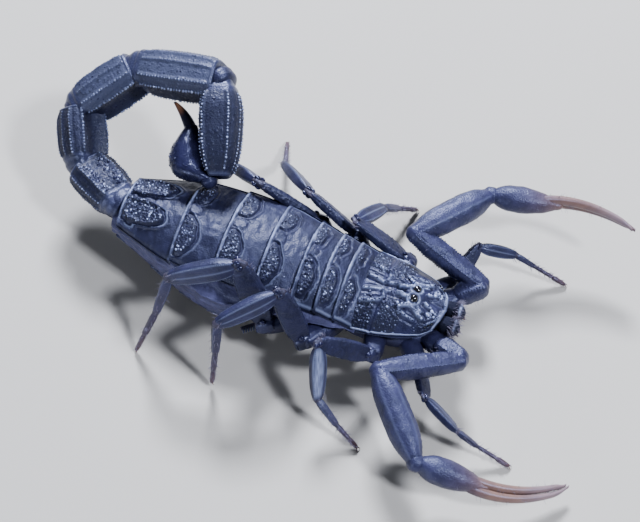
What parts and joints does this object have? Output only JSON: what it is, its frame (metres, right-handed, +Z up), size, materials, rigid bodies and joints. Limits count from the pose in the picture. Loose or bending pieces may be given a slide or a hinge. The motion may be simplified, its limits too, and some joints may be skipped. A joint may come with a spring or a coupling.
{
  "type": "black fat-tailed scorpion, life-size still model",
  "caption": "Black scorpion standing with slim pincers forward and its thick keeled tail curled flat over one side, as a life-size museum model.",
  "frame": {"origin": "centre of the animal's outline seen from above, on the floor that its feet rest on", "axes": "+X towards the head along the body, +Y towards the animal's left, +Z up"},
  "size_m": [0.062, 0.037, 0.0184],
  "materials": {
    "shell": "satin black chitin with a blue cast, smooth bands and shiny granules",
    "pincer_shell": "smooth satin black chitin that turns brown towards the fingers",
    "finger_shell": "satin reddish brown chitin",
    "leg_shell": "dull black chitin, browner towards the feet",
    "under_shell": "satin black chitin",
    "membrane": "soft grey-blue folded skin between the plates, tan at the joints",
    "comb": "pale brown comb teeth",
    "eye": "glossy black",
    "sting": "polished dark brown, darker at the point"
  },
  "bodies": {
    "root": {"carapace": "shell", "tergite_1": "shell", "tergite_2": "shell", "tergite_3": "shell", "tergite_4": "shell", "tergite_5": "shell", "tergite_6": "shell", "tergite_7": "shell", "tail_1": "shell", "tail_2": "shell", "tail_3": "shell", "tail_4": "shell", "tail_5": "shell", "vesicle": "shell", "chelicera_right": "shell", "chelicera_left": "shell", "palp_right_trochanter": "pincer_shell", "palp_right_femur": "pincer_shell", "palp_right_patella": "pincer_shell", "palp_right_hand": "pincer_shell", "palp_right_finger": "finger_shell", "leg_right_1_femur": "leg_shell", "leg_right_1_patella": "leg_shell", "leg_right_1_tarsus": "leg_shell", "leg_right_2_femur": "leg_shell", "leg_right_2_patella": "leg_shell", "leg_right_2_tarsus": "leg_shell", "leg_right_3_femur": "leg_shell", "leg_right_3_patella": "leg_shell", "leg_right_3_tarsus": "leg_shell", "leg_right_4_femur": "leg_shell", "leg_right_4_patella": "leg_shell", "leg_right_4_tarsus": "leg_shell", "eye_right": "eye", "pecten_right": "comb", "palp_left_trochanter": "pincer_shell", "palp_left_femur": "pincer_shell", "palp_left_patella": "pincer_shell", "palp_left_hand": "pincer_shell", "palp_left_finger": "finger_shell", "leg_left_1_femur": "leg_shell", "leg_left_1_patella": "leg_shell", "leg_left_1_tarsus": "leg_shell", "leg_left_2_femur": "leg_shell", "leg_left_2_patella": "leg_shell", "leg_left_2_tarsus": "leg_shell", "leg_left_3_femur": "leg_shell", "leg_left_3_patella": "leg_shell", "leg_left_3_tarsus": "leg_shell", "leg_left_4_femur": "leg_shell", "leg_left_4_patella": "leg_shell", "leg_left_4_tarsus": "leg_shell", "eye_left": "eye", "pecten_left": "comb", "coxae": "under_shell", "belly": "membrane", "sting": "sting"}
  },
  "joints": []
}
